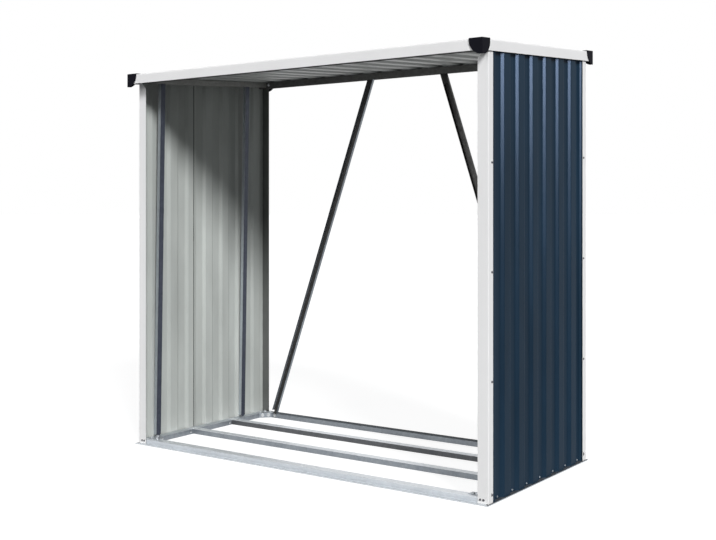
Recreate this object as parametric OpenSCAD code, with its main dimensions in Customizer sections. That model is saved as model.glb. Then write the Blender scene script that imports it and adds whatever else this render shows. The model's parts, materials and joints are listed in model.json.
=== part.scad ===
// Metal log store: a galvanised base frame carries two ribbed sheet walls
// between corner posts, and a ribbed roof that falls towards the open front.
// +X is to the right, +Y to the back, +Z up. The origin is on the ground, in
// the middle of the store. All sizes are in millimetres.

/* [Overall] */
// Width of the roof over its edge trims
store_w = 1630; // [1300:10:2200]
// Depth of the roof over its edge trims
store_d = 830; // [650:10:1100]
// Height of the roof's top edge at the back
store_h = 1540; // [1200:10:2000]
// How much lower the roof's top edge is at the front
roof_fall = 60; // [20:5:120]
// How far the roof stands out past the base at the front and the back
roof_overhang = 36; // [10:1:80]

/* [Sheet metal] */
// Thickness of the ribbed wall and roof sheets
sheet_t = 0.8; // [0.4:0.1:1.2]
// Thickness of rails, posts, stiffeners and braces
frame_t = 1.5; // [0.8:0.1:2.5]
// Gap left between the roof sheets and what they lie on
fit_gap = 0.3; // [0.1:0.1:0.8]

/* [Ribs] */
// Distance from one rib to the next
rib_pitch = 101; // [80:1:140]
// Width of a rib's flat crest
rib_crest = 40; // [20:1:60]
// Width of each sloping side of a rib
rib_side = 10; // [5:1:15]
// Height of a rib
rib_depth = 10; // [6:0.5:16]
// Width by which two sheets lap over one another
sheet_lap = 35; // [20:1:38]
// From the posts' front face to the first whole rib of a wall
first_rib = 98; // [90:1:110]
// From the posts' front face to the middle of a wall's lap
wall_split = 306; // [250:1:400]

/* [Base frame] */
// Height of the base rails
rail_h = 20; // [15:1:40]
// Width across the top of a base rail
rail_w = 37; // [25:1:60]
// Thickness of the lip that stands out at the foot of each base rail
lip_t = 3; // [1:0.5:5]
// How far the lip stands out past the posts at the front
lip_front = 15; // [5:1:30]
// How far the lip stands out past the posts at the back
lip_rear = 5; // [3:1:30]
// How far the lip stands out past the posts at each side
lip_side = 6; // [3:1:20]
// Width of a floor rail
floor_rail_w = 30; // [20:1:50]
// From the base's front edge to the first floor rail
floor_rail_start = 264; // [150:1:300]
// From the first floor rail to the second
floor_rail_pitch = 233; // [150:1:260]
// How far a floor rail laps over the side rails
floor_rail_lap = 25; // [15:1:35]
// Clearance under the legs of a floor rail
floor_rail_clear = 1; // [0.5:0.5:5]

/* [Foot brackets] */
// How far a foot bracket reaches along each rail
bracket_reach = 38; // [25:1:38]
// How far a foot bracket laps over the rails
bracket_lap = 18; // [10:1:18]

/* [Corner posts] */
// Width of a post's front or back face
post_face_w = 40; // [30:1:60]
// Width of a post's side face
post_side_w = 30; // [20:1:50]
// Width of the strip that runs up behind the roof trim
post_neck_w = 16; // [15:1:25]
// Height of the slanting cut at the top of a post's face
post_cut_h = 24; // [15:1:60]
// From the roof's top edge down to the upper end of that cut
post_cut_drop = 33; // [20:1:50]

/* [Wall stiffeners] */
// Width of a wall stiffener
stiffener_w = 24; // [18:1:35]
// Depth of a wall stiffener
stiffener_depth = 15; // [10:1:20]
// From the base's front edge to the first stiffener
stiffener_start = 81; // [80:1:90]
// From the first stiffener to the second
stiffener_pitch = 499; // [497:1:505]
// Gap under a stiffener's open lower end
stiffener_foot_gap = 5; // [3:1:15]
// Width of the tab that stands on the base rail
stiffener_tab_w = 14; // [8:1:20]

/* [Roof frame] */
// Height of the roof's rear beam
beam_h = 27; // [20:1:40]
// Height of the roof's front beam
front_beam_h = 19; // [15:1:30]
// Height of the rails along the top of the walls
roof_rail_h = 22; // [15:1:27]
// Width of the rails along the top of the walls
roof_rail_w = 45; // [40:1:60]

/* [Roof trim] */
// Height of the trim's upright face
trim_h = 37; // [30:1:60]
// Width of the trim's top, which lies on the roof sheets
trim_w = 25; // [20:1:45]
// Radius of the trim's rounded upper edge
trim_r = 5; // [3:1:18]
// Gap between the lip along the trim's lower edge and the posts' sides
trim_gap = 1; // [0.5:0.5:2]
// Thickness of the trim
trim_t = 1.2; // [0.8:0.1:2]
// Steps in the trim's rounded edge
trim_steps = 6; // [3:1:10]

/* [Corner caps] */
// Width of a corner cap along each side
cap_w = 50; // [35:1:80]
// Height of a corner cap
cap_h = 52; // [40:1:80]
// Thickness of a corner cap
cap_t = 3; // [2:0.5:4]
// Width of a cap's narrow lower end
cap_end_w = 13; // [8:1:20]

/* [Rear braces] */
// Width of a brace
brace_w = 28; // [20:1:40]
// Depth of a brace
brace_depth = 12; // [8:1:20]
// Width of the flat tabs at a brace's ends
brace_tab_w = 16; // [10:1:26]
// From a foot bracket to the tab at a brace's foot
brace_inset = 8; // [0.5:0.1:200]
// From the middle of the store to a brace's top
brace_top_x = 175; // [60:1:300]
// Bare length of tab above the base rail
brace_foot_gap = 15; // [5:1:40]

/* [Hidden] */

// Ends and sides of the store
front = -1;
rear = 1;
left = -1;
right = 1;

// Colours
galvanised = [0.72, 0.75, 0.78];
navy = [0.16, 0.22, 0.32];
white = [0.90, 0.91, 0.93];
black = [0.10, 0.10, 0.12];

// Outer faces of the base and of the posts
half_w = store_w / 2;
half_d = store_d / 2;
base_y = half_d - roof_overhang;
post_x = half_w - lip_side;
post_front_y = base_y - lip_front;
post_rear_y = base_y - lip_rear;
function lip(end) = end == front ? lip_front : lip_rear;
function post_y(end) = base_y - lip(end);

// Walls stand inside the posts' side faces
wall_x = post_x - frame_t;
wall_inner_x = wall_x - rib_depth - 2 * sheet_t;

// Widths of the base rails from the lip's edge to the inner face
side_web = half_w - wall_inner_x;
function end_web(end) = lip(end) + frame_t;
inner_x = wall_inner_x - rail_w;
function inner_y(end) = base_y - end_web(end) - rail_w;

// The roof's top plane, and what lies under it
slope = atan(roof_fall / store_d);
roof_mid = store_h - roof_fall / 2;
roof_build = trim_t + rib_depth + 2 * sheet_t + 2 * fit_gap;
function roof_z(y) = roof_mid + y * tan(slope);
function frame_z(y) = roof_z(y) - roof_build;

// Sheets of the roof meet on the crest of a rib, one of them at x = 0
sheet_w = round(store_w / 4 / rib_pitch) * rib_pitch;
sheet_end = half_w - trim_r;
roof_rib_start = -rib_crest / 2 - rib_side;

// The trim's lip turns in towards the posts
trim_lip = lip_side - trim_gap;

// Braces lean in from the foot, beside the foot bracket, to the top. They
// also lean back, from the rear base rail to the outer web of the rear beam.
brace_foot_x = inner_x - bracket_reach - brace_inset - brace_tab_w / 2;
brace_foot_y = inner_y(rear);
brace_head_y = post_rear_y - 2 * frame_t - fit_gap;
brace_head_z = frame_z(brace_head_y) - beam_h / 2;
brace_angle = atan((brace_foot_x - brace_top_x) / frame_z(brace_head_y));
brace_lean = atan((brace_head_y - brace_foot_y) / (brace_head_z - rail_h));

// Sizes of the blocks that cut pieces, and the fineness of arcs
big = 2 * max(store_w, store_d, store_h);
arc_fn = 96;

// ---- shapes that are used more than once ----

// Height of a rib above the valley, at u along the sheet
function rib_at(u) =
    let (m = u - rib_pitch * floor(u / rib_pitch))
    m < rib_side ? rib_depth * m / rib_side
    : m < rib_side + rib_crest ? rib_depth
    : m < 2 * rib_side + rib_crest
        ? rib_depth * (2 * rib_side + rib_crest - m) / rib_side
    : 0;

// Points along a ribbed sheet from u0 to u1: every bend, and the two ends
function rib_line(u0, u1) = concat(
    [[u0, rib_at(u0)]],
    [for (k = [floor(u0 / rib_pitch) : floor(u1 / rib_pitch)])
        for (b = [0, rib_side, rib_side + rib_crest, 2 * rib_side + rib_crest])
            let (u = k * rib_pitch + b)
            if (u > u0 && u < u1) [u, rib_at(u)]],
    [[u1, rib_at(u1)]]);

// Cross-section of a ribbed sheet, with ribs counted from the given start
module ribbed_section(from, to, start) {
    line = rib_line(from - start, to - start);
    last = len(line) - 1;
    polygon(concat(
        [for (p = line) [p[0] + start, p[1]]],
        [for (i = [last : -1 : 0]) [line[i][0] + start, line[i][1] - sheet_t]]));
}

// A channel with its open side down, from x = 0 to width
module channel_section(width, height) {
    difference() {
        square([width, height]);
        translate([frame_t, -frame_t])
            square([width - 2 * frame_t, height]);
    }
}

// Moves its children into the plane of the roof
module on_roof() {
    translate([0, 0, roof_mid])
        rotate([slope, 0, 0])
            children();
}

// Keeps what lies between two distances along Y
module between_y(y0, y1) {
    intersection() {
        children();
        translate([-big / 2, y0, 0])
            cube([big, y1 - y0, big]);
    }
}

// Everything that lies lower than the roof's top plane by the given drop
module under_roof(drop) {
    translate([-big / 2, 0, 0])
        rotate([90, 0, 90])
            linear_extrude(big)
                polygon([[-store_d, 0], [store_d, 0],
                    [store_d, roof_z(store_d) - drop],
                    [-store_d, roof_z(-store_d) - drop]]);
}

// Runs a section in the Y-Z plane along X, from -half to half
module along_x(half) {
    translate([-half, 0, 0])
        rotate([90, 0, 90])
            linear_extrude(2 * half)
                children();
}

// Runs a section in the X-Z plane along Y, from -half to half
module along_y(half) {
    translate([0, half, 0])
        rotate([90, 0, 0])
            linear_extrude(2 * half)
                children();
}

// Shows a piece drawn for the right as one for the given side
module on_side(side) {
    mirror([side == left ? 1 : 0, 0, 0])
        children();
}

// Shows a piece drawn for the back as one for the given end
module at_end(end) {
    mirror([0, end == front ? 1 : 0, 0])
        children();
}

// ---- base frame ----

// Section of a base rail, from the edge of its lip inwards
module base_section(web) {
    square([web + frame_t, lip_t]);
    translate([web, 0])
        channel_section(rail_w, rail_h);
}

// Plan of the front or rear base rail, with mitred ends
module end_rail_plan(end) {
    polygon([[-half_w, base_y], [half_w, base_y],
        [inner_x, inner_y(end)], [-inner_x, inner_y(end)]]);
}

// Front or rear base rail
module base_end_rail(end) {
    color(galvanised)
        at_end(end)
            intersection() {
                mirror([0, 1, 0])
                    translate([0, -base_y, 0])
                        along_x(half_w)
                            base_section(end_web(end));
                linear_extrude(rail_h)
                    end_rail_plan(end);
            }
}

// Left or right base rail, with mitred ends
module base_side_rail(side) {
    color(galvanised)
        on_side(side)
            intersection() {
                mirror([1, 0, 0])
                    translate([-half_w, 0, 0])
                        along_y(base_y)
                            base_section(side_web);
                linear_extrude(rail_h)
                    polygon([[half_w, -base_y], [half_w, base_y],
                        [inner_x, inner_y(rear)], [inner_x, -inner_y(front)]]);
            }
}

// Floor rail across the base: its top laps over the side rails
module floor_rail(number) {
    color(galvanised)
        translate([0, -base_y + floor_rail_start + number * floor_rail_pitch, 0]) {
            translate([0, 0, floor_rail_clear])
                along_x(inner_x)
                    channel_section(floor_rail_w, rail_h + frame_t - floor_rail_clear);
            translate([0, 0, rail_h])
                along_x(inner_x + floor_rail_lap)
                    square([floor_rail_w, frame_t]);
        }
}

// Bracket in a corner of the base: a plate on the rails and a slanting skirt
module foot_bracket(side, end) {
    skirt = frame_t * sqrt(2);
    color(galvanised)
        on_side(side)
            at_end(end)
                translate([inner_x, inner_y(end), 0])
                    rotate(180) {
                        translate([0, 0, rail_h])
                            linear_extrude(frame_t)
                                polygon([[-bracket_lap, -bracket_lap],
                                    [bracket_reach, -bracket_lap],
                                    [bracket_reach, 0], [0, bracket_reach],
                                    [-bracket_lap, bracket_reach]]);
                        linear_extrude(rail_h)
                            polygon([[bracket_reach, 0], [0, bracket_reach],
                                [0, bracket_reach - skirt],
                                [bracket_reach - skirt, 0]]);
                    }
}

// ---- posts and walls ----

// Corner post: two faces at a right angle. The face of a front post is cut
// slantwise to a narrow neck at the top.
module post(side, end) {
    y = post_y(end);
    top = roof_z(end * y);
    neck_x = post_x - post_neck_w;
    cut_top = top - post_cut_drop;
    color(white)
        on_side(side)
            intersection() {
                at_end(end) {
                    translate([0, y, 0])
                        rotate([90, 0, 0])
                            linear_extrude(frame_t)
                                difference() {
                                    translate([post_x - post_face_w, lip_t])
                                        square([post_face_w, top - lip_t]);
                                    if (end == front)
                                        polygon([[0, top], [neck_x, top], [neck_x, cut_top],
                                            [post_x - post_face_w, cut_top - post_cut_h],
                                            [0, cut_top - post_cut_h]]);
                                }
                    translate([post_x - frame_t, y - post_side_w, lip_t])
                        cube([frame_t, post_side_w, store_h]);
                }
                under_roof(roof_build);
            }
}

// One sheet of a wall between two places along Y. It is notched wherever it
// would meet the front or rear base rail.
module wall_sheet(side, from, to, nest) {
    color(navy)
        on_side(side)
            difference() {
                intersection() {
                    translate([wall_x - rib_depth - nest * sheet_t, 0, lip_t])
                        linear_extrude(store_h)
                            mirror([1, -1, 0])
                                ribbed_section(from, to, first_rib - post_front_y);
                    under_roof(roof_build);
                }
                for (end = [front, rear])
                    at_end(end)
                        linear_extrude(rail_h)
                            end_rail_plan(end);
            }
}

// Front sheet of a wall, which laps over the rear one. The sheets end at
// the upright webs of the front and rear base rails.
module wall_front(side) {
    wall_sheet(side, 2 * frame_t - post_front_y,
        wall_split + sheet_lap / 2 - post_front_y, 0);
}

// Rear sheet of a wall
module wall_rear(side) {
    wall_sheet(side, wall_split - sheet_lap / 2 - post_front_y,
        post_rear_y - 2 * frame_t, 1);
}

// Stiffener inside a wall: it leans in to the rail along the wall's top
module stiffener(side, number) {
    y0 = -base_y + stiffener_start + number * stiffener_pitch;
    x0 = wall_inner_x - fit_gap;
    foot = rail_h + stiffener_foot_gap;
    length = frame_z(y0) - frame_t - fit_gap - foot;
    inward = roof_rail_w - frame_t - stiffener_depth - 2 * fit_gap;
    color(galvanised)
        on_side(side) {
            translate([x0, y0, foot])
                rotate([0, -atan(inward / length), 0])
                    linear_extrude(length)
                        rotate(90)
                            channel_section(stiffener_w, stiffener_depth);
            translate([x0 - stiffener_depth,
                y0 + (stiffener_w - stiffener_tab_w) / 2, rail_h])
                cube([frame_t, stiffener_tab_w, 2 * stiffener_foot_gap]);
        }
}

// ---- roof ----

// Beam along the front or the back of the roof
module roof_beam(end) {
    y1 = post_y(end) - frame_t;
    y0 = y1 - rail_w;
    h = end == front ? front_beam_h : beam_h;
    color(galvanised)
        along_x(wall_inner_x - fit_gap)
            polygon([for (p = [[y0, h], [y0, 0], [y1, 0], [y1, h],
                [y1 - frame_t, h], [y1 - frame_t, frame_t],
                [y0 + frame_t, frame_t], [y0 + frame_t, h]])
                    [end * p[0], frame_z(end * p[0]) - p[1]]]);
}

// Rail along the top of a wall, between the two beams
module roof_rail(side) {
    color(galvanised)
        on_side(side)
            between_y(-inner_y(front), inner_y(rear))
                on_roof()
                    translate([0, 0, -roof_build - roof_rail_h])
                        along_y(half_d)
                            translate([wall_inner_x - roof_rail_w, 0])
                                channel_section(roof_rail_w, roof_rail_h);
}

// One ribbed sheet of the roof
module roof_sheet(from, to, nest) {
    color(navy)
        between_y(trim_r - half_d, half_d - trim_r)
            on_roof()
                translate([0, 0, -trim_t - fit_gap - rib_depth - nest * sheet_t])
                    along_y(store_d)
                        ribbed_section(from, to, roof_rib_start);
}

// Line of the trim's section, set back by the given depth from its outside
function trim_line(back) = concat(
    [[back, -trim_h]],
    [for (i = [0 : trim_steps])
        let (a = 180 - 90 * i / trim_steps)
        [trim_r + (trim_r - back) * cos(a), -trim_r + (trim_r - back) * sin(a)]],
    [[trim_w, -back]]);

// Section of the trim from its outer face inwards, its top at zero
module trim_section(rise) {
    outer = trim_line(0);
    inner = trim_line(trim_t);
    polygon([for (p = concat(outer, [for (i = [len(inner) - 1 : -1 : 1]) inner[i]],
        [[trim_t, trim_t - trim_h], [trim_lip, trim_t - trim_h], [trim_lip, -trim_h]]))
            [p[0], p[1] + rise * p[0]]]);
}

// Trim along the front or the back of the roof
module end_trim(end) {
    color(white)
        at_end(end)
            translate([0, half_d, roof_z(end * half_d)])
                mirror([0, 1, 0])
                    along_x(half_w - trim_w)
                        trim_section(-end * tan(slope));
}

// Trim along the left or the right of the roof
module side_trim(side) {
    color(white)
        on_side(side)
            between_y(-half_d, half_d)
                on_roof()
                    translate([half_w, 0, 0])
                        mirror([1, 0, 0])
                            along_y(store_d)
                                trim_section(0);
}

// Outline of each side of a cap: full width along the top, then rounded down
// to a narrow end, and carried on past the corner
module cap_outline() {
    rim = 2 * cap_t;
    in = cap_w - cap_end_w;
    down = cap_h - rim;
    r = (in * in + down * down) / (2 * in);
    intersection() {
        translate([-cap_w, 0])
            square([2 * cap_w, cap_h]);
        union() {
            translate([-cap_w, 0])
                square([cap_w, cap_h]);
            translate([-cap_w, 0])
                square([2 * cap_w, rim]);
            translate([cap_w - r, rim])
                circle(r, $fn = arc_fn);
        }
    }
}

// Cap over a corner of the roof, drawn from its outer corner inwards. Its
// end face stands upright, and its side face and its top follow the roof.
module corner_cap(side, end) {
    y = half_d + cap_t;
    color(black)
        on_side(side)
            at_end(end)
                translate([half_w + cap_t, y, roof_z(end * y) + cap_t + fit_gap])
                    rotate(180)
                        intersection() {
                            union() {
                                rotate([-90, 0, 0])
                                    linear_extrude(cap_t)
                                        cap_outline();
                                rotate([-end * slope, 0, 0]) {
                                    translate([cap_t, 0, 0])
                                        rotate([-90, 0, 90])
                                            linear_extrude(cap_t)
                                                cap_outline();
                                    translate([0, 0, -cap_t])
                                        linear_extrude(cap_t)
                                            cap_outline();
                                }
                            }
                            translate([0, 0, -2 * cap_h])
                                cube([cap_w, cap_w, 3 * cap_h]);
                        }
}

// ---- braces ----

// Strip of a brace, square to its slant, between two distances along it
module brace_strip(width, from, to) {
    translate([brace_foot_x, 0])
        rotate(brace_angle)
            translate([-width / 2, from])
                square([width, to - from]);
}

// Brace across the open back: a channel, open to the front, with a flat tab
// at its foot. Its head stands inside the rear beam.
module brace(side) {
    tab_end = floor_rail_clear + brace_tab_w / 2 * tan(brace_angle);
    foot = rail_h + brace_foot_gap;
    head = brace_head_z / cos(brace_angle);
    color(galvanised)
        on_side(side)
            translate([0, brace_foot_y, rail_h])
                rotate([-brace_lean, 0, 0])
                    translate([0, 0, -rail_h])
                        rotate([90, 0, 0]) {
                            linear_extrude(frame_t) {
                                brace_strip(brace_w, foot, head);
                                brace_strip(brace_tab_w, tab_end, head);
                            }
                            linear_extrude(brace_depth)
                                difference() {
                                    brace_strip(brace_w, foot, head);
                                    brace_strip(brace_w - 2 * frame_t, 0, store_h);
                                }
                        }
}

// ---- the store ----

base_end_rail(front);  // base_front_rail
base_end_rail(rear);  // base_rear_rail
base_side_rail(left);  // base_left_rail
base_side_rail(right);  // base_right_rail
floor_rail(0);  // floor_rail_front
floor_rail(1);  // floor_rail_rear
foot_bracket(left, front);  // foot_bracket_front_left
foot_bracket(right, front);  // foot_bracket_front_right
foot_bracket(left, rear);  // foot_bracket_rear_left
foot_bracket(right, rear);  // foot_bracket_rear_right
post(left, front);  // post_front_left
post(right, front);  // post_front_right
post(left, rear);  // post_rear_left
post(right, rear);  // post_rear_right
wall_front(left);  // wall_left_front
wall_rear(left);  // wall_left_rear
wall_front(right);  // wall_right_front
wall_rear(right);  // wall_right_rear
stiffener(left, 0);  // stiffener_left_front
stiffener(left, 1);  // stiffener_left_rear
stiffener(right, 0);  // stiffener_right_front
stiffener(right, 1);  // stiffener_right_rear
roof_beam(front);  // roof_front_beam
roof_beam(rear);  // roof_rear_beam
roof_rail(left);  // roof_left_rail
roof_rail(right);  // roof_right_rail
roof_sheet(-sheet_end, sheet_lap / 2 - sheet_w, 0);  // roof_sheet_left
roof_sheet(-sheet_w - sheet_lap / 2, sheet_lap / 2, 1);  // roof_sheet_mid_left
roof_sheet(-sheet_lap / 2, sheet_w + sheet_lap / 2, 0);  // roof_sheet_mid_right
roof_sheet(sheet_w - sheet_lap / 2, sheet_end, 1);  // roof_sheet_right
end_trim(front);  // roof_trim_front
end_trim(rear);  // roof_trim_rear
side_trim(left);  // roof_trim_left
side_trim(right);  // roof_trim_right
corner_cap(left, front);  // corner_cap_front_left
corner_cap(right, front);  // corner_cap_front_right
corner_cap(left, rear);  // corner_cap_rear_left
corner_cap(right, rear);  // corner_cap_rear_right
brace(left);  // brace_left
brace(right);  // brace_right
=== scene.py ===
import json
import math

import bmesh
import bpy
from mathutils import Matrix, Vector

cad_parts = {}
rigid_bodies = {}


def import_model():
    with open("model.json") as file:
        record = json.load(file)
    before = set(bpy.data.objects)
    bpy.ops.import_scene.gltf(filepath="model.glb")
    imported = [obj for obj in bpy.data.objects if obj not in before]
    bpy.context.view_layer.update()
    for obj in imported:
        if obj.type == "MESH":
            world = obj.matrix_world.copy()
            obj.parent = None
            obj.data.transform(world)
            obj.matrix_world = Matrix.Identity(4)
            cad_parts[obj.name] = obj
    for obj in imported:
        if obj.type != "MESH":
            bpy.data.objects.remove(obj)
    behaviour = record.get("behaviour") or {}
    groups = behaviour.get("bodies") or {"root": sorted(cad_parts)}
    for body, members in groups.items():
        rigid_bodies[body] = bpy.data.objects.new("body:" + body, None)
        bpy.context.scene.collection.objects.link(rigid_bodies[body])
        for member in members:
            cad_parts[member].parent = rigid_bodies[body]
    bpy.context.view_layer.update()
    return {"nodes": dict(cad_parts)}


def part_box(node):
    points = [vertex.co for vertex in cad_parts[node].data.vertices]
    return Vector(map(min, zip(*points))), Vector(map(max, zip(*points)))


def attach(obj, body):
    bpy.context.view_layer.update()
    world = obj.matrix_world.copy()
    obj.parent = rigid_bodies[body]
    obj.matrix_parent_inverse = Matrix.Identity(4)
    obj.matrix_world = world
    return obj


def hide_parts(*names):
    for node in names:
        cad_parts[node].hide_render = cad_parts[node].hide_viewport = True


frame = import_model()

cadNodes = frame["nodes"]
sides = {"left": -1, "right": 1}
ends = {"front": -1, "rear": 1}
xAxis, yAxis, up = Vector((1, 0, 0)), Vector((0, 1, 0)), Vector((0, 0, 1))


def deselectAll():
    if bpy.context.mode != "OBJECT":
        bpy.ops.object.mode_set(mode="OBJECT")
    bpy.ops.object.select_all(action="DESELECT")


def workOn(piece):
    deselectAll()
    piece.select_set(True)
    bpy.context.view_layer.objects.active = piece


# Selects the edges or faces of the piece that pass a test, in edit mode
def pick(piece, kind, wanted):
    if bpy.context.mode != "EDIT_MESH":
        workOn(piece)
        bpy.ops.object.mode_set(mode="EDIT")
    bpy.ops.mesh.select_mode(type=kind)
    bpy.ops.mesh.select_all(action="DESELECT")
    mesh = bmesh.from_edit_mesh(piece.data)
    found = [part for part in (mesh.edges if kind == "EDGE" else mesh.faces) if wanted(part)]
    for part in found:
        part.select_set(True)
    bmesh.update_edit_mesh(piece.data)
    return len(found)


def applyModifier(piece, kind, **settings):
    workOn(piece)
    modifier = piece.modifiers.new(kind.lower(), kind)
    for key, value in settings.items():
        setattr(modifier, key, value)
    bpy.ops.object.modifier_apply(modifier=modifier.name)


# Metres, but flatWithin is the angle in degrees at which faces count as one
cleaning = {"weld": 0.00001, "flatWithin": 0.4, "closeWeld": 0.00002}


# A copy of a frame part with its loose triangles joined into clean faces
def formedFrom(node):
    source = cadNodes[node]
    piece = source.copy()
    piece.data = source.data.copy()
    piece.name = node + "_formed"
    piece.parent = None
    for key in list(piece.keys()):
        del piece[key]
    bpy.context.scene.collection.objects.link(piece)
    workOn(piece)
    bpy.ops.mesh.customdata_custom_splitnormals_clear()
    bpy.ops.object.mode_set(mode="EDIT")
    bpy.ops.mesh.select_all(action="SELECT")
    bpy.ops.mesh.remove_doubles(threshold=cleaning["weld"])
    bpy.ops.mesh.dissolve_limited(angle_limit=math.radians(cleaning["flatWithin"]))
    bpy.ops.object.mode_set(mode="OBJECT")
    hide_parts(node)
    return piece


# How far a face reaches away from one of its edges
def reach(face, edge):
    start = edge.verts[0].co
    line = (edge.verts[1].co - start).normalized()
    return max(((v.co - start) - line * (v.co - start).dot(line)).length for v in face.verts)


foldTest = {"leastLength": 0.012, "inLine": 0.9, "leastAngle": 20}


# A fold runs along the piece, between two faces that are wider than the metal
def isFold(edge, along, outward, leastWidth):
    if len(edge.link_faces) != 2 or edge.calc_length() < foldTest["leastLength"]:
        return False
    line = (edge.verts[1].co - edge.verts[0].co).normalized()
    angle = edge.calc_face_angle_signed(0)
    if abs(line.dot(along)) < foldTest["inLine"] or abs(angle) < math.radians(foldTest["leastAngle"]):
        return False
    if (angle > 0) != outward:
        return False
    return min(reach(face, edge) for face in edge.link_faces) > leastWidth


# Bevels the outward folds and then the inward ones, by the radii in the piece's form
def roundFolds(piece, along, form):
    for radius, outward in ((form["outside"], True), (form["inside"], False)):
        if pick(piece, "EDGE", lambda edge: isFold(edge, along, outward, form["leastWidth"])):
            bpy.ops.mesh.bevel(offset=radius, offset_type="OFFSET", segments=form["segments"], profile=0.5)
    bpy.ops.object.mode_set(mode="OBJECT")


def softenEdges(piece, width, segments=1, angle=60):
    applyModifier(piece, "BEVEL", width=width, segments=segments, limit_method="ANGLE",
                  angle_limit=math.radians(angle), use_clamp_overlap=True)


slotCutter = {"sides": 16, "depth": 0.008, "offCentre": 0.00001}


# Cuts a round-ended slot through a piece; the slot runs along one axis of its own plane
def cutSlot(piece, centre, through, along, slot):
    straight = slot["length"] - slot["width"]
    deselectAll()
    bpy.ops.mesh.primitive_cylinder_add(vertices=slotCutter["sides"], radius=slot["width"] / 2,
                                        depth=slotCutter["depth"])
    cutter = bpy.context.object
    bpy.ops.object.mode_set(mode="EDIT")
    bpy.ops.mesh.select_all(action="DESELECT")
    mesh = bmesh.from_edit_mesh(cutter.data)
    for vertex in mesh.verts:
        if vertex.co.x > slotCutter["offCentre"]:
            vertex.select_set(True)
    bmesh.update_edit_mesh(cutter.data)
    bpy.ops.transform.translate(value=(straight, 0, 0))
    bpy.ops.object.mode_set(mode="OBJECT")
    turn = Matrix((along, through.cross(along), through)).transposed().to_4x4()
    cutter.matrix_world = Matrix.Translation(centre - along * straight / 2) @ turn
    bpy.context.view_layer.update()
    applyModifier(piece, "BOOLEAN", object=cutter, operation="DIFFERENCE", solver="EXACT")
    bpy.data.objects.remove(cutter)


# Joins points that bevels have left almost on top of one another
def mergeClose(piece):
    pick(piece, "FACE", lambda face: True)
    bpy.ops.mesh.remove_doubles(threshold=cleaning["closeWeld"])
    bpy.ops.object.mode_set(mode="OBJECT")


# Gives a finished piece its smooth shading and its place in the frame
def finishPiece(piece, smooth=35):
    mergeClose(piece)
    workOn(piece)
    bpy.ops.object.transform_apply(location=True, rotation=True, scale=True)
    bpy.ops.object.shade_smooth_by_angle(angle=math.radians(smooth))
    applyModifier(piece, "WEIGHTED_NORMAL", keep_sharp=True)
    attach(piece, "root")


# Puts a copy of the master at each place, facing the way given, and joins them
def setOut(master, name, places, material):
    copies = []
    for point, facing in places:
        copy = master.copy()
        copy.data = master.data.copy()
        bpy.context.scene.collection.objects.link(copy)
        copy.matrix_world = Matrix.Translation(point) @ facing.to_track_quat("Z", "Y").to_matrix().to_4x4()
        copies.append(copy)
    workOn(copies[0])
    for copy in copies:
        copy.select_set(True)
    bpy.ops.object.transform_apply(location=True, rotation=True, scale=True)
    bpy.ops.object.join()
    copies[0].name = name
    paintFaces(copies[0], material)
    finishPiece(copies[0])


# The outer corner, seen from above, of a part that stands in one corner of the store
def outerCorner(node, side, end):
    low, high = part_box(node)
    return max(high.x, -low.x) * side, max(high.y, -low.y) * end


def addNode(tree, kind, **settings):
    node = tree.nodes.new(kind)
    for key, value in settings.items():
        if key in node.inputs:
            node.inputs[key].default_value = value
        else:
            setattr(node, key, value)
    return node


def calc(tree, operation, first, second=None, third=None, clamp=False):
    node = tree.nodes.new("ShaderNodeMath")
    node.operation = operation
    node.use_clamp = clamp
    for index, value in enumerate((first, second, third)):
        if value is None:
            continue
        if isinstance(value, (int, float)):
            node.inputs[index].default_value = value
        else:
            tree.links.new(value, node.inputs[index])
    return node.outputs[0]


def mixColours(tree, factor, first, second):
    node = tree.nodes.new("ShaderNodeMix")
    node.data_type = "RGBA"
    for socket, value in ((node.inputs[0], factor), (node.inputs[6], first), (node.inputs[7], second)):
        if isinstance(value, (int, float, tuple)):
            socket.default_value = value
        else:
            tree.links.new(value, socket)
    return node.outputs[2]


def newGroup(name, inputs, outputs):
    tree = bpy.data.node_groups.new(name, "ShaderNodeTree")
    kinds = {"Color": "NodeSocketColor", "Value": "NodeSocketFloat"}
    for label, kind, value in inputs:
        socket = tree.interface.new_socket(name=label, in_out="INPUT", socket_type=kinds[kind])
        socket.default_value = value
    for label, kind in outputs:
        tree.interface.new_socket(name=label, in_out="OUTPUT", socket_type=kinds[kind])
    return tree, tree.nodes.new("NodeGroupInput"), tree.nodes.new("NodeGroupOutput")


# Noise with its own scale for each axis, read on the object's own coordinates
def noiseOn(tree, stretch, detail, roughness=0.5):
    place = addNode(tree, "ShaderNodeTexCoord")
    mapping = addNode(tree, "ShaderNodeMapping", Scale=stretch)
    noise = addNode(tree, "ShaderNodeTexNoise", Scale=1.0, Detail=detail, Roughness=roughness)
    tree.links.new(place.outputs["Object"], mapping.inputs["Vector"])
    tree.links.new(mapping.outputs["Vector"], noise.inputs["Vector"])
    return noise.outputs["Fac"]


# Scales of the patterns in a painted coat, and how strongly each one shows
coat = {"clouds": (7, 7, 2.2), "peel": (900, 900, 900), "waves": (5, 5, 1.4), "rubs": (60, 60, 500),
        "patches": (11, 11, 11), "rubAbove": 0.68, "patchAbove": 0.45, "rubColour": (0.75, 0.76, 0.78, 1),
        "rubRoughness": 0.5, "roughSwing": 0.16, "peelHeight": 0.12}


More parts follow.
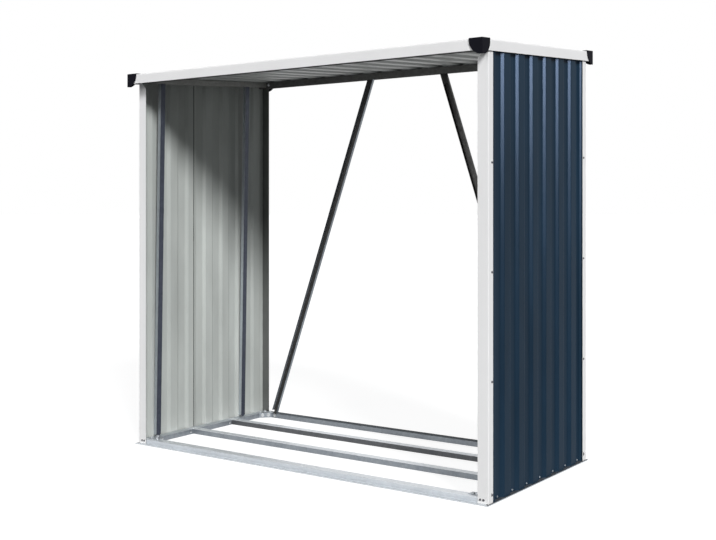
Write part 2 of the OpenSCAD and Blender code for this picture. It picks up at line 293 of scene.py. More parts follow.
def makeGrainGroup():
    tree, given, out = newGroup(
        "coatGrain",
        [("Color", "Color", (0.5, 0.5, 0.5, 1)), ("Roughness", "Value", 0.4), ("Mottle", "Value", 0.06),
         ("Marks", "Value", 0.1)],
        [("Color", "Color"), ("Roughness", "Value"), ("Height", "Value")])
    clouds = calc(tree, "SUBTRACT", noiseOn(tree, coat["clouds"], detail=4), 0.5)
    peel = noiseOn(tree, coat["peel"], detail=2)
    waves = noiseOn(tree, coat["waves"], detail=1)
    rubs = noiseOn(tree, coat["rubs"], detail=3, roughness=0.7)
    patches = noiseOn(tree, coat["patches"], detail=2)
    # mottle swings the colour a little to each side of the one given
    swing = calc(tree, "MULTIPLY", calc(tree, "MULTIPLY", clouds, given.outputs["Mottle"]), 2.0)
    scaled = addNode(tree, "ShaderNodeVectorMath", operation="SCALE")
    tree.links.new(given.outputs["Color"], scaled.inputs[0])
    tree.links.new(calc(tree, "ADD", swing, 1.0), scaled.inputs["Scale"])
    marks = calc(tree, "MULTIPLY", calc(tree, "GREATER_THAN", rubs, coat["rubAbove"]),
                 calc(tree, "SUBTRACT", patches, coat["patchAbove"], clamp=True))
    marked = calc(tree, "MULTIPLY", marks, given.outputs["Marks"], clamp=True)
    coloured = mixColours(tree, marked, scaled.outputs[0], coat["rubColour"])
    rough = calc(tree, "ADD", given.outputs["Roughness"], calc(tree, "MULTIPLY", clouds, coat["roughSwing"]))
    rubbed = calc(tree, "ADD", rough, calc(tree, "MULTIPLY", marked, coat["rubRoughness"]))
    height = calc(tree, "ADD", calc(tree, "MULTIPLY", peel, coat["peelHeight"]), waves)
    tree.links.new(coloured, out.inputs["Color"])
    tree.links.new(rubbed, out.inputs["Roughness"])
    tree.links.new(height, out.inputs["Height"])
    return tree


# The crystals of a zinc coat: their edges are bent by warp, and streaks run over them
spangle = {"warpScale": 60.0, "warp": (0.012, 0.012, 0.012), "streaks": (9, 9, 9), "fine": (700, 700, 700),
           "crystalShare": 0.5, "streakShare": 1.2, "streakOffset": -0.35, "roughSwing": 0.16,
           "fineHeight": 0.3}


def makeSpangleGroup():
    tree, given, out = newGroup(
        "zincSpangle",
        [("Light", "Color", (0.6, 0.63, 0.66, 1)), ("Dark", "Color", (0.4, 0.43, 0.46, 1)),
         ("Scale", "Value", 90.0), ("Roughness", "Value", 0.4)],
        [("Color", "Color"), ("Roughness", "Value"), ("Height", "Value")])
    place = addNode(tree, "ShaderNodeTexCoord")
    warp = addNode(tree, "ShaderNodeTexNoise", Scale=spangle["warpScale"], Detail=2.0)
    tree.links.new(place.outputs["Object"], warp.inputs["Vector"])
    bent = addNode(tree, "ShaderNodeVectorMath", operation="MULTIPLY_ADD")
    tree.links.new(warp.outputs["Color"], bent.inputs[0])
    bent.inputs[1].default_value = spangle["warp"]
    tree.links.new(place.outputs["Object"], bent.inputs[2])
    crystals = addNode(tree, "ShaderNodeTexVoronoi")
    tree.links.new(bent.outputs[0], crystals.inputs["Vector"])
    tree.links.new(given.outputs["Scale"], crystals.inputs["Scale"])
    parts = addNode(tree, "ShaderNodeSeparateColor")
    tree.links.new(crystals.outputs["Color"], parts.inputs[0])
    streaks = noiseOn(tree, spangle["streaks"], detail=4, roughness=0.6)
    streaked = calc(tree, "MULTIPLY_ADD", streaks, spangle["streakShare"], spangle["streakOffset"])
    blend = calc(tree, "ADD", calc(tree, "MULTIPLY", parts.outputs[0], spangle["crystalShare"]), streaked,
                 clamp=True)
    swing = spangle["roughSwing"]
    rough = calc(tree, "ADD", given.outputs["Roughness"],
                 calc(tree, "MULTIPLY_ADD", parts.outputs[1], swing, -swing / 2))
    fine = calc(tree, "MULTIPLY", noiseOn(tree, spangle["fine"], detail=2), spangle["fineHeight"])
    tree.links.new(mixColours(tree, blend, given.outputs["Dark"], given.outputs["Light"]),
                   out.inputs["Color"])
    tree.links.new(rough, out.inputs["Roughness"])
    tree.links.new(calc(tree, "ADD", fine, parts.outputs[2]), out.inputs["Height"])
    return tree


dustLay = {"topFacing": 0.6, "topShare": 0.35, "specks": (45, 45, 45), "speckShare": 1.6,
           "speckOffset": -0.35, "roughening": 0.4}


# Dust lies near the ground and, thinly, on what faces up
def makeDustGroup():
    tree, given, out = newGroup(
        "yardDust",
        [("Color", "Color", (0.5, 0.5, 0.5, 1)), ("Dust", "Color", (0.42, 0.39, 0.34, 1)),
         ("Amount", "Value", 0.3), ("Height", "Value", 0.12), ("Roughness", "Value", 0.4)],
        [("Color", "Color"), ("Roughness", "Value")])
    place = addNode(tree, "ShaderNodeTexCoord")
    axes = addNode(tree, "ShaderNodeSeparateXYZ")
    tree.links.new(place.outputs["Object"], axes.inputs[0])
    raised = calc(tree, "DIVIDE", axes.outputs[2], given.outputs["Height"])
    low = calc(tree, "SUBTRACT", 1.0, raised, clamp=True)
    facing = addNode(tree, "ShaderNodeNewGeometry")
    normal = addNode(tree, "ShaderNodeSeparateXYZ")
    tree.links.new(facing.outputs["Normal"], normal.inputs[0])
    topped = calc(tree, "MULTIPLY", calc(tree, "GREATER_THAN", normal.outputs[2], dustLay["topFacing"]),
                  dustLay["topShare"])
    specks = noiseOn(tree, dustLay["specks"], detail=5, roughness=0.7)
    spread = calc(tree, "MULTIPLY_ADD", specks, dustLay["speckShare"], dustLay["speckOffset"], clamp=True)
    laid = calc(tree, "MULTIPLY", calc(tree, "MAXIMUM", low, topped), spread)
    mask = calc(tree, "MULTIPLY", laid, given.outputs["Amount"], clamp=True)
    dusted = mixColours(tree, mask, given.outputs["Color"], given.outputs["Dust"])
    rough = calc(tree, "ADD", given.outputs["Roughness"], calc(tree, "MULTIPLY", mask, dustLay["roughening"]))
    tree.links.new(dusted, out.inputs["Color"])
    tree.links.new(rough, out.inputs["Roughness"])
    return tree


grainGroup = makeGrainGroup()
spangleGroup = makeSpangleGroup()
dustGroup = makeDustGroup()


def placeGroup(tree, group, **values):
    node = tree.nodes.new("ShaderNodeGroup")
    node.node_tree = group
    for key, value in values.items():
        node.inputs[key].default_value = value
    return node


def newMaterial(name, metallic=0.0, specular=0.5):
    material = bpy.data.materials.new(name)
    material.use_nodes = True
    tree = material.node_tree
    shader = tree.nodes["Principled BSDF"]
    shader.inputs["Metallic"].default_value = metallic
    shader.inputs["Specular IOR Level"].default_value = specular
    return material, tree, shader


def dustOver(tree, source, shader, dust):
    over = placeGroup(tree, dustGroup, **dust)
    tree.links.new(source.outputs["Color"], over.inputs["Color"])
    tree.links.new(source.outputs["Roughness"], over.inputs["Roughness"])
    tree.links.new(over.outputs["Color"], shader.inputs["Base Color"])
    tree.links.new(over.outputs["Roughness"], shader.inputs["Roughness"])


def bumpFrom(tree, height, shader, strength, distance):
    bump = addNode(tree, "ShaderNodeBump", Strength=strength, Distance=distance)
    tree.links.new(height, bump.inputs["Height"])
    tree.links.new(bump.outputs["Normal"], shader.inputs["Normal"])


def coatedMetal(name, colour, roughness, specular, mottle, marks, dust, strength=0.25, distance=0.0008):
    material, tree, shader = newMaterial(name, specular=specular)
    grain = placeGroup(tree, grainGroup, Color=colour, Roughness=roughness, Mottle=mottle, Marks=marks)
    dustOver(tree, grain, shader, dust)
    bumpFrom(tree, grain.outputs["Height"], shader, strength, distance)
    return material


zincBump = {"strength": 0.2, "distance": 0.0002}


def zincMetal(name, light, dark, scale, roughness, metallic, dust):
    material, tree, shader = newMaterial(name, metallic=metallic)
    crystals = placeGroup(tree, spangleGroup, Light=light, Dark=dark, Scale=scale, Roughness=roughness)
    dustOver(tree, crystals, shader, dust)
    bumpFrom(tree, crystals.outputs["Height"], shader, **zincBump)
    return material


paints = {
    "navy": dict(colour=(0.010, 0.026, 0.047, 1), roughness=0.34, specular=0.03, mottle=0.4, marks=0.0,
                 dust={"Amount": 0.05, "Height": 0.12, "Dust": (0.10, 0.11, 0.12, 1)}),
    "backcoat": dict(colour=(0.425, 0.447, 0.430, 1), roughness=0.5, specular=0.1, mottle=0.3, marks=0.05,
                     dust={"Amount": 0.35, "Height": 0.1, "Dust": (0.62, 0.62, 0.58, 1)}),
    "roofBackcoat": dict(colour=(0.37, 0.385, 0.375, 1), roughness=0.42, specular=0.45, mottle=0.3,
                         marks=0.05, dust={"Amount": 0.1, "Height": 0.1, "Dust": (0.5, 0.5, 0.48, 1)}),
    # a back coat for the posts' inner faces, made darker as painted shade
    "innerCoatShade": dict(colour=(0.13, 0.135, 0.13, 1), roughness=0.5, specular=0.2, mottle=0.3, marks=0.1,
                      dust={"Amount": 0.2, "Height": 0.1, "Dust": (0.4, 0.4, 0.38, 1)}),
    "white": dict(colour=(0.79, 0.79, 0.795, 1), roughness=0.4, specular=0.4, mottle=0.05, marks=0.05,
                  dust={"Amount": 0.25, "Height": 0.1, "Dust": (0.56, 0.54, 0.50, 1)}),
    "plastic": dict(colour=(0.009, 0.009, 0.013, 1), roughness=0.36, specular=0.012, mottle=0.3, marks=0.02,
                    dust={"Amount": 0.04, "Height": 0.1, "Dust": (0.1, 0.1, 0.1, 1)},
                    strength=0.35, distance=0.0003),
    "shadedSteel": dict(colour=(0.055, 0.065, 0.075, 1), roughness=0.6, specular=0.05, mottle=0.6,
                        marks=0.02, dust={"Amount": 0.05, "Height": 0.05, "Dust": (0.2, 0.2, 0.19, 1)}),
    # painted shade: near-black for the shadow in the gap at the walls' laps
    "gapShade": dict(colour=(0.02, 0.02, 0.02, 1), roughness=0.7, specular=0.1, mottle=0.3, marks=0.0,
                 dust={"Amount": 0.1, "Height": 0.1, "Dust": (0.2, 0.2, 0.19, 1)}),
    "screw": dict(colour=(0.04, 0.04, 0.05, 1), roughness=0.4, specular=0.5, mottle=0.3, marks=0.3,
                  dust={"Amount": 0.2, "Height": 0.1, "Dust": (0.25, 0.23, 0.2, 1)}),
}
zincs = {
    # painted light: a lighter copy of the zinc for faces that look up
    "top": dict(light=(0.74, 0.77, 0.80, 1), dark=(0.62, 0.65, 0.69, 1), scale=95.0, roughness=0.4,
                metallic=0.45, dust={"Amount": 0.15, "Height": 0.05, "Dust": (0.55, 0.54, 0.5, 1)}),
    "bright": dict(light=(0.55, 0.59, 0.63, 1), dark=(0.46, 0.495, 0.535, 1), scale=95.0, roughness=0.36,
                   metallic=0.7, dust={"Amount": 0.25, "Height": 0.05, "Dust": (0.48, 0.46, 0.42, 1)}),
    # painted shade: a darker copy of the zinc for faces in shade, also the lighter side of the dark braces
    "dull": dict(light=(0.29, 0.32, 0.35, 1), dark=(0.19, 0.21, 0.24, 1), scale=95.0, roughness=0.42,
                 metallic=0.6, dust={"Amount": 0.15, "Height": 0.05, "Dust": (0.3, 0.29, 0.27, 1)}),
    # painted shade: the darkest copy of the zinc, for faces deep in shade
    "dark": dict(light=(0.115, 0.12, 0.13, 1), dark=(0.07, 0.075, 0.082, 1), scale=95.0, roughness=0.45,
                 metallic=0.5, dust={"Amount": 0.12, "Height": 0.05, "Dust": (0.2, 0.19, 0.18, 1)}),
    # painted shade: a dark blue copy of the zinc for the stiffeners' faces that look into the store
    "shadedBlue": dict(light=(0.050, 0.058, 0.085, 1), dark=(0.026, 0.032, 0.050, 1), scale=95.0, roughness=0.4,
                  metallic=0.5, dust={"Amount": 0.1, "Height": 0.05, "Dust": (0.2, 0.2, 0.2, 1)}),
    # painted shade: a dark copy of the zinc for the beams under the roof
    "beam": dict(light=(0.17, 0.17, 0.165, 1), dark=(0.10, 0.10, 0.097, 1), scale=95.0, roughness=0.5,
                 metallic=0.3, dust={"Amount": 0.1, "Height": 0.05, "Dust": (0.25, 0.24, 0.22, 1)}),
    # painted shade: a darker copy of the zinc for the roof rails under the roof
    "topRail": dict(light=(0.30, 0.30, 0.29, 1), dark=(0.21, 0.21, 0.20, 1), scale=95.0, roughness=0.5,
                    metallic=0.3, dust={"Amount": 0.1, "Height": 0.05, "Dust": (0.25, 0.24, 0.22, 1)}),
    # painted shade: a near-black copy of the zinc for the braces
    "brace": dict(light=(0.055, 0.054, 0.052, 1), dark=(0.028, 0.027, 0.026, 1), scale=80.0, roughness=0.45,
                  metallic=0.4, dust={"Amount": 0.1, "Height": 0.08, "Dust": (0.12, 0.12, 0.11, 1)}),
    "fixing": dict(light=(0.66, 0.68, 0.70, 1), dark=(0.46, 0.48, 0.50, 1), scale=400.0, roughness=0.3,
                   metallic=0.85, dust={"Amount": 0.2, "Height": 0.05, "Dust": (0.45, 0.43, 0.4, 1)}),
}
paint = {name: coatedMetal(name + "Paint", **look) for name, look in paints.items()}
zinc = {name: zincMetal(name + "Zinc", **look) for name, look in zincs.items()}
print("materials made")


# Gives every face the first material, then each of the others to the faces that pass its test
def paintFaces(piece, first, *tests):
    piece.data.materials.clear()
    piece.data.materials.append(first)
    for index, (material, wanted) in enumerate(tests, 1):
        piece.data.materials.append(material)
        if pick(piece, "FACE", wanted):
            piece.active_material_index = index
            bpy.ops.object.material_slot_assign()
    bpy.ops.object.mode_set(mode="OBJECT")


# A test for faces that look the given way
def looks(way, least=0.5):
    return lambda face: face.normal.dot(way) > least


sheetForm = {"outside": 0.0026, "inside": 0.0026, "segments": 3, "leastWidth": 0.009, "facing": 0.2,
             "smooth": 50}


# Navy outside, backcoat inside and bare zinc at the cut edges, with a dark strip of painted shade on the
# inner faces up to the given y
def makeSheet(node, along, outward, back, shadedTo=None):
    piece = formedFrom(node)
    facing = sheetForm["facing"]
    roundFolds(piece, along, sheetForm)
    tests = [(zinc["bright"], lambda face: abs(face.normal.dot(outward)) <= facing),
             (paint[back], looks(-outward, facing))]
    if shadedTo is not None:
        pick(piece, "FACE", lambda face: True)
        bpy.ops.mesh.bisect(plane_co=(0, shadedTo, 0), plane_no=yAxis)
        bpy.ops.object.mode_set(mode="OBJECT")
        tests.append((paint["gapShade"], lambda face: face.calc_center_median().y < shadedTo
                      and not looks(outward, facing)(face)))
    paintFaces(piece, paint["navy"], *tests)
    finishPiece(piece, smooth=sheetForm["smooth"])


# A dark strip of painted shade runs up the inner edge of each wall's lap, for the shadow in the gap between
# the sheets
lapShadeStrip = {"width": 0.0035}
for sideName, side in sides.items():
    makeSheet(f"wall_{sideName}_front", up, xAxis * side, "backcoat")
    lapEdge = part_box(f"wall_{sideName}_rear")[0].y
    makeSheet(f"wall_{sideName}_rear", up, xAxis * side, "backcoat", lapEdge + lapShadeStrip["width"])
for part in ("left", "mid_left", "mid_right", "right"):
    makeSheet(f"roof_sheet_{part}", yAxis, up, "roofBackcoat")
print("walls and roof formed")


railForm = {"outside": 0.0016, "inside": 0.0006, "segments": 2, "leastWidth": 0.0035, "edge": 0.0002,
            "lipBelow": 0.006}


# Rounds a rail's folds; its painting and finish follow once its holes are cut
def makeRail(node, along):
    piece = formedFrom(node)
    roundFolds(piece, along, railForm)
    return piece


def finishRail(piece, first, *tests):
    softenEdges(piece, railForm["edge"])
    paintFaces(piece, first, *tests)
    finishPiece(piece)


# The top of the thin lip that runs round the foot of the base
def isLip(face):
    return looks(up)(face) and face.calc_center_median().z < railForm["lipBelow"]


anchorHole = {"fromSide": 0.0225, "fromFront": 0.0075, "length": 0.0051, "width": 0.005}
hangerSlot = {"beforeRail": 0.011, "height": 0.0115, "length": 0.013, "width": 0.005}
piece = makeRail("base_front_rail", xAxis)
low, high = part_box("base_front_rail")
for side in sides.values():
    spot = Vector((side * (high.x - anchorHole["fromSide"]), low.y + anchorHole["fromFront"], 0))
    cutSlot(piece, spot, up, xAxis, anchorHole)
# Painted light: the front rail's faces that look up take a lighter copy of the zinc
finishRail(piece, zinc["bright"], (zinc["top"], looks(up)))
# Painted shade: the rear rail takes a darker copy of the zinc, with its top faces darker still
finishRail(makeRail("base_rear_rail", xAxis), zinc["dull"], (paint["shadedSteel"], looks(up)))
for sideName, side in sides.items():
    piece = makeRail(f"base_{sideName}_rail", yAxis)
    innerX = min(abs(corner.x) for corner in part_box(f"base_{sideName}_rail"))
    for name in ends:
        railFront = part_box(f"floor_rail_{name}")[0].y
        spot = Vector((side * innerX, railFront - hangerSlot["beforeRail"], hangerSlot["height"]))
        cutSlot(piece, spot, xAxis, up, hangerSlot)
    # Painted shade: the inner faces take a darker copy of the zinc, and the lip's top under the walls a
    # darker one still
    finishRail(piece, zinc["bright"], (zinc["dull"], looks(-xAxis * side)), (zinc["dark"], isLip))

floorSlot = {"fromEnd": 0.045, "length": 0.016, "width": 0.005}
# Painted light and shade: the rails' tops take a lighter copy of the zinc, their front faces darker copies
for name, frontShade in (("front", "dull"), ("rear", "dark")):
    piece = makeRail(f"floor_rail_{name}", xAxis)
    low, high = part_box(f"floor_rail_{name}")
    for side in sides.values():
        spot = Vector((side * (high.x - floorSlot["fromEnd"]), (low.y + high.y) / 2, high.z))
        cutSlot(piece, spot, up, xAxis, floorSlot)
    finishRail(piece, zinc["top"], (zinc[frontShade], looks(-yAxis)))

bracketForm = {"steepBelow": 0.5}
# Painted shade: the brackets' steep faces take a darker copy of the zinc
for endName in ends:
    for sideName in sides:
        finishRail(formedFrom(f"foot_bracket_{endName}_{sideName}"), zinc["bright"],
                   (zinc["dull"], lambda face: abs(face.normal.z) < bracketForm["steepBelow"]))
print("base formed")

# Stiffeners and braces keep sharp folds, and only their edges are softened
braceForm = {"facing": 0.4}
for sideName, side in sides.items():
    inward = -xAxis * side
    for name in ends:
        # Painted shade: the stiffeners' faces that look into the store take a dark blue copy of the zinc
        finishRail(formedFrom(f"stiffener_{sideName}_{name}"), zinc["bright"],
                   (zinc["shadedBlue"], looks(inward)))
    # Painted shade: the roof rails take a darker copy of the zinc, for the shade under the roof
    finishRail(makeRail(f"roof_{sideName}_rail", yAxis), zinc["topRail"])
    # Painted shade: the braces take a near-black copy of the zinc, their faces that look into the store a
    # lighter copy as painted reflection
    finishRail(formedFrom(f"brace_{sideName}"), zinc["brace"],
               (zinc["dull"], looks(inward, braceForm["facing"])))
for endName in ends:
    # Painted shade: the beams take a dark copy of the zinc, for the shade under the roof
    finishRail(makeRail(f"roof_{endName}_beam", xAxis), zinc["beam"])
print("inner frame formed")

postForm = {"outside": 0.0022, "inside": 0.0008, "segments": 3, "leastWidth": 0.004, "edge": 0.00025}
postSlot = {"fromFace": 0.0225, "height": 0.028, "length": 0.014, "width": 0.0045}
for endName, end in ends.items():
    for sideName, side in sides.items():
        node = f"post_{endName}_{sideName}"
        cornerX, cornerY = outerCorner(node, side, end)
        piece = formedFrom(node)
        roundFolds(piece, up, postForm)
        spot = Vector((cornerX, cornerY - end * postSlot["fromFace"], postSlot["height"]))
        cutSlot(piece, spot, xAxis, up, postSlot)
        softenEdges(piece, postForm["edge"])
        # Painted shade: the posts' inner faces take a back coat darkened for the shade inside the store
        paintFaces(piece, paint["white"], (paint["innerCoatShade"], looks(-xAxis * side)),
                   (paint["innerCoatShade"], looks(-yAxis * end)))
        finishPiece(piece)

trimForm = {"outside": 0.0010, "inside": 0.0003, "segments": 2, "leastWidth": 0.0045, "edge": 0.0002,
            "facing": 0.7}
for name, along in (("front", xAxis), ("rear", xAxis), ("left", yAxis), ("right", yAxis)):
    piece = formedFrom(f"roof_trim_{name}")
    roundFolds(piece, along, trimForm)
    softenEdges(piece, trimForm["edge"])
    paintFaces(piece, paint["white"], (paint["shadedSteel"], looks(-up, trimForm["facing"])))
    finishPiece(piece)
print("posts and trims formed")

capForm = {"corner": 0.0022, "segments": 4, "leastWidth": 0.02, "leastAngle": 60}


# The long outer corners of a cap, which are moulded round
def isCapCorner(edge):
    return (len(edge.link_faces) == 2
            and edge.calc_face_angle_signed(0) > math.radians(capForm["leastAngle"])
            and min(reach(face, edge) for face in edge.link_faces) > capForm["leastWidth"])


for endName in ends:
    for sideName in sides:
        piece = formedFrom(f"corner_cap_{endName}_{sideName}")
        if pick(piece, "EDGE", isCapCorner):
            bpy.ops.mesh.bevel(offset=capForm["corner"], segments=capForm["segments"], profile=0.5)
        bpy.ops.object.mode_set(mode="OBJECT")
        paintFaces(piece, paint["plastic"])
        finishPiece(piece)
print("caps formed")

# rounding is a share of the head's height, and rimAbove the share above which an edge is its rim
panScrew = {"sides": 20, "radius": 0.0040, "height": 0.0024, "rounding": 0.7, "roundSteps": 3,
            "rimAbove": 0.9, "recess": 0.0014, "cross": 0.0042, "blade": 0.0009}


def makePanScrew():
    deselectAll()
    height = panScrew["height"]
    bpy.ops.mesh.primitive_cylinder_add(vertices=panScrew["sides"], radius=panScrew["radius"], depth=height,
                                        location=(0, 0, height / 2))
    screw = bpy.context.object
    bpy.ops.object.transform_apply(location=True, rotation=True, scale=True)
    pick(screw, "EDGE", lambda edge: min(v.co.z for v in edge.verts) > height * panScrew["rimAbove"])
    bpy.ops.mesh.bevel(offset=height * panScrew["rounding"], segments=panScrew["roundSteps"], profile=0.5)
    for angle in (0, math.pi / 2):
        deselectAll()
        bpy.ops.mesh.primitive_cube_add(size=1, location=(0, 0, height), rotation=(0, 0, angle))
        blade = bpy.context.object
        blade.scale = (panScrew["cross"], panScrew["blade"], panScrew["recess"] * 2)
        bpy.context.view_layer.update()
        applyModifier(screw, "BOOLEAN", object=blade, operation="DIFFERENCE", solver="EXACT")
        bpy.data.objects.remove(blade)
    return screw


# washerRounding is a share of the washer's height, and topFacing picks the head's top face
hexBolt = {"radius": 0.0055, "height": 0.0038, "washer": 0.0078, "washerHeight": 0.0012, "washerSides": 24,
           "washerRounding": 0.35, "topFacing": 0.9, "rim": 0.0009, "dishIn": 0.0006, "dishDepth": 0.0005,
           "edge": 0.0003, "edgeAngle": 40}


def makeHexBolt():
    deselectAll()
    rise = hexBolt["washerHeight"]
    bpy.ops.mesh.primitive_cylinder_add(vertices=hexBolt["washerSides"], radius=hexBolt["washer"],
                                        depth=rise, location=(0, 0, rise / 2))
    washer = bpy.context.object
    bpy.ops.object.transform_apply(location=True, rotation=True, scale=True)
    softenEdges(washer, rise * hexBolt["washerRounding"], segments=2)
    deselectAll()
    bpy.ops.mesh.primitive_cylinder_add(vertices=6, radius=hexBolt["radius"], depth=hexBolt["height"],
                                        location=(0, 0, rise + hexBolt["height"] / 2))
    head = bpy.context.object
    bpy.ops.object.transform_apply(location=True, rotation=True, scale=True)
    pick(head, "FACE", lambda face: face.normal.z > hexBolt["topFacing"])
    bpy.ops.mesh.inset(thickness=hexBolt["rim"])
    bpy.ops.mesh.inset(thickness=hexBolt["dishIn"], depth=hexBolt["dishDepth"])
    softenEdges(head, hexBolt["edge"], angle=hexBolt["edgeAngle"])
    workOn(head)
    washer.select_set(True)
    bpy.ops.object.join()
    return head


panMaster, boltMaster = makePanScrew(), makeHexBolt()

postScrews = {"front": (0.028, 0.39, 0.741, 1.092), "rear": (0.028, 0.384, 0.76, 1.136),
              "fromFace": 0.0225, "footAcross": (0.018, 0.030), "footHeight": 0.0145}
for endName, end in ends.items():
    for sideName, side in sides.items():
        cornerX, cornerY = outerCorner(f"post_{endName}_{sideName}", side, end)
        places = [(Vector((cornerX, cornerY - end * postScrews["fromFace"], z)), xAxis * side)
                  for z in postScrews[endName]]
        places += [(Vector((cornerX - side * x, cornerY, postScrews["footHeight"])), yAxis * end)
                   for x in postScrews["footAcross"]]
        setOut(panMaster, f"post_screws_{endName}_{sideName}", places, paint["screw"])

wallScrews = {"firstValley": 0.0775, "pitch": 0.101, "count": 7, "height": 0.0095, "beforeLap": 0.01,
              "metal": 0.0008}
for sideName, side in sides.items():
    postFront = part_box(f"post_front_{sideName}")[0].y
    frontWall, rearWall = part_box(f"wall_{sideName}_front"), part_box(f"wall_{sideName}_rear")
    places = []
    for number in range(wallScrews["count"]):
        y = postFront + wallScrews["firstValley"] + number * wallScrews["pitch"]
        wall = frontWall if y < frontWall[1].y - wallScrews["beforeLap"] else rearWall
        inner = min(abs(wall[0].x), abs(wall[1].x))
        places.append((Vector((side * (inner + wallScrews["metal"]), y, wallScrews["height"])),
                       xAxis * side))
    setOut(panMaster, f"wall_screws_{sideName}", places, zinc["dull"])
print("post and wall screws set")

# Three bolts hold each foot bracket to the rails, and two go through its slanting skirt
bracketBolts = {"fromCorner": ((0.009, 0.009), (0.009, 0.041), (0.041, 0.009)),
                "skirt": ((0.0465, 0.0275), (0.0275, 0.0465)), "skirtHeight": 0.0115}
for endName, end in ends.items():
    for sideName, side in sides.items():
        node = f"foot_bracket_{endName}_{sideName}"
        cornerX, cornerY = outerCorner(node, side, end)
        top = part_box(node)[1].z
        skirtWay = Vector((-side, -end, 0)).normalized()
        places = [(Vector((cornerX - side * x, cornerY - end * y, top)), up)
                  for x, y in bracketBolts["fromCorner"]]
        places += [(Vector((cornerX - side * x, cornerY - end * y, bracketBolts["skirtHeight"])), skirtWay)
                   for x, y in bracketBolts["skirt"]]
        setOut(boltMaster, f"bracket_bolts_{endName}_{sideName}", places, zinc["fixing"])

floorScrews = {"fromEnd": 0.0125}
for name in ends:
    low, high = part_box(f"floor_rail_{name}")
    places = [(Vector((side * (high.x - floorScrews["fromEnd"]), (low.y + high.y) / 2, high.z)), up)
              for side in sides.values()]
    setOut(panMaster, f"floor_rail_screws_{name}", places, zinc["fixing"])

braceBolts = {"footIn": 0.0076, "headIn": 0.0132, "footHeight": 0.0115, "underHead": 0.014,
              "legDepth": 0.0105, "metal": 0.0018}
for sideName, side in sides.items():
    low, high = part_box(f"brace_{sideName}")
    footX = max(abs(low.x), abs(high.x)) - braceBolts["footIn"]
    headX = min(abs(low.x), abs(high.x)) + braceBolts["headIn"]
    places = []
    for z, y in ((braceBolts["footHeight"], low.y + braceBolts["legDepth"]),
                 (high.z - braceBolts["underHead"], high.y - braceBolts["metal"])):
        share = (z - low.z) / (high.z - low.z)
        places.append((Vector((side * (footX + (headX - footX) * share), y, z)), -yAxis))
    setOut(boltMaster, f"brace_bolts_{sideName}", places, zinc["fixing"])

beamBolts = {"fromRail": 0.013, "underTop": {"front": 0.011, "rear": 0.0137}}
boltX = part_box("roof_right_rail")[0].x - beamBolts["fromRail"]
for endName, end in ends.items():
    low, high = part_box(f"roof_{endName}_beam")
    innerY = min(abs(low.y), abs(high.y)) * end
    height = high.z - beamBolts["underTop"][endName]
    places = [(Vector((side * boltX, innerY, height)), yAxis * -end) for side in sides.values()]
    setOut(boltMaster, f"beam_bolts_{endName}", places, zinc["fixing"])

for master in (panMaster, boltMaster):
    bpy.data.objects.remove(master)
print("bolts and floor rail screws set")


room = {"floorSize": 400.0, "floorTone": 0.22, "floorShown": 0.28, "floorGlow": 0.87, "skyLight": 0.17,
        "skyColour": (0.97, 0.985, 1, 1)}


# What the camera and reflections see differs from what lights the store
def mixBySight(tree, lighting, shown, out):
    seen = addNode(tree, "ShaderNodeLightPath")
    mirrored = calc(tree, "MAXIMUM", seen.outputs["Is Glossy Ray"], seen.outputs["Is Transmission Ray"])
    mix = addNode(tree, "ShaderNodeMixShader")
    tree.links.new(calc(tree, "MAXIMUM", seen.outputs["Is Camera Ray"], mirrored), mix.inputs[0])
    tree.links.new(lighting.outputs[0], mix.inputs[1])
    tree.links.new(shown.outputs[0], mix.inputs[2])
    tree.links.new(mix.outputs[0], out.inputs["Surface"])


def makeFloor():
    deselectAll()
    bpy.ops.mesh.primitive_plane_add(size=room["floorSize"], location=(0, 0, 0))
    floor = bpy.context.object
    floor.name = "floor"
    material = bpy.data.materials.new("paleFloor")
    material.use_nodes = True
    tree = material.node_tree
    tree.nodes.clear()
    lit = addNode(tree, "ShaderNodeBsdfDiffuse", Color=(room["floorTone"],) * 3 + (1,))
    shown = addNode(tree, "ShaderNodeBsdfDiffuse", Color=(room["floorShown"],) * 3 + (1,))
    glow = addNode(tree, "ShaderNodeEmission", Color=(1, 1, 1, 1), Strength=room["floorGlow"])
    both = addNode(tree, "ShaderNodeAddShader")
    tree.links.new(shown.outputs[0], both.inputs[0])
    tree.links.new(glow.outputs[0], both.inputs[1])
    mixBySight(tree, lit, both, addNode(tree, "ShaderNodeOutputMaterial"))
    floor.data.materials.append(material)


def makeSky():
    world = bpy.data.worlds.new("studio")
    bpy.context.scene.world = world
    world.use_nodes = True
    tree = world.node_tree
    tree.nodes.clear()
    light = addNode(tree, "ShaderNodeBackground", Color=room["skyColour"], Strength=room["skyLight"])
    shown = addNode(tree, "ShaderNodeBackground", Color=(1, 1, 1, 1), Strength=1.0)
    mixBySight(tree, light, shown, addNode(tree, "ShaderNodeOutputWorld"))


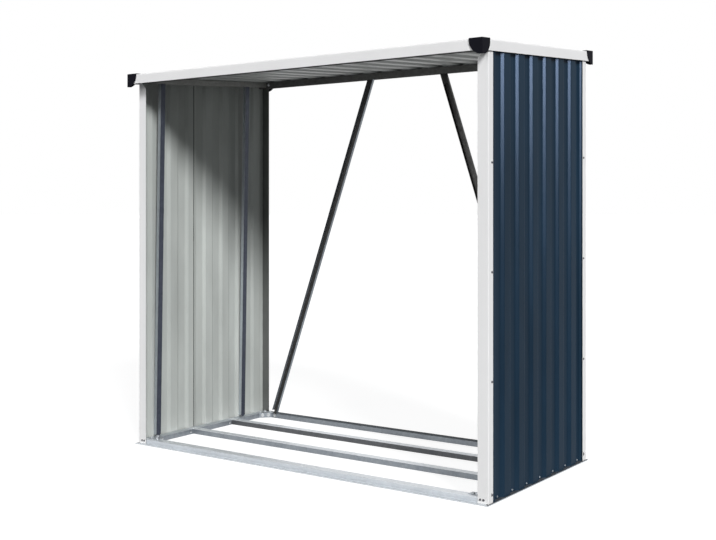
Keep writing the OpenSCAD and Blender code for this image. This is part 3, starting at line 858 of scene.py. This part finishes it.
# towards points from the store to the lamp, and softness is the sun's width in degrees
lamps = {
    "keyLamp": {"towards": (1.15, -0.76, 0.76), "strength": 3.2, "softness": 14},
    "frontFill": {"towards": (-0.15, -1.0, 0.1), "strength": 1.2, "softness": 50},
    "backFill": {"towards": (-0.65, 0.8, 0.35), "strength": 1.3, "softness": 45,
                 "colour": (0.95, 0.97, 1.0), "mirrored": False},
}


def makeSun(name, towards, strength, softness, colour=(1, 1, 1), mirrored=True):
    lamp = bpy.data.lights.new(name, "SUN")
    lamp.energy = strength
    lamp.angle = math.radians(softness)
    lamp.color = colour
    holder = bpy.data.objects.new(name, lamp)
    bpy.context.scene.collection.objects.link(holder)
    holder.location = towards
    holder.visible_glossy = mirrored
    holder.rotation_euler = Vector(towards).to_track_quat("Z", "Y").to_euler()


sheen = {"power": 2250.0, "place": (3.5, -1.35, 2.5), "aim": (0.8, 0, 1.4), "size": 1.7,
         "colour": (0.55, 0.70, 1.0)}


# A soft lamp that shows only as a sheen on the right wall
def makeSheen():
    lamp = bpy.data.lights.new("sheenLamp", "AREA")
    lamp.shape = "SQUARE"
    lamp.size = sheen["size"]
    lamp.energy = sheen["power"]
    lamp.color = sheen["colour"]
    holder = bpy.data.objects.new("sheenLamp", lamp)
    bpy.context.scene.collection.objects.link(holder)
    holder.visible_diffuse = False
    reached = bpy.data.collections.new("sheenReaches")
    for piece in bpy.context.scene.objects:
        if piece.name.startswith("wall_right") and piece.name.endswith("_formed"):
            reached.objects.link(piece)
    holder.light_linking.receiver_collection = reached
    holder.location = sheen["place"]
    away = Vector(sheen["place"]) - Vector(sheen["aim"])
    holder.rotation_euler = away.to_track_quat("Z", "Y").to_euler()


# turn is in degrees about the upright; the camera looks level
view = {"place": (2.4749, -3.2835, 0.9369), "turn": 33.897, "lens": 53.03, "shift": (-0.0743, -0.0825)}


def makeCamera():
    data = bpy.data.cameras.new("camera")
    camera = bpy.data.objects.new("camera", data)
    bpy.context.scene.collection.objects.link(camera)
    camera.location = view["place"]
    camera.rotation_euler = (math.radians(90), 0, math.radians(view["turn"]))
    data.lens = view["lens"]
    data.shift_x, data.shift_y = view["shift"]
    bpy.context.scene.camera = camera


makeFloor()
makeSky()
for name, lamp in lamps.items():
    makeSun(name, **lamp)
makeSheen()
makeCamera()
bpy.context.scene.view_settings.view_transform = "Standard"
print("room ready")
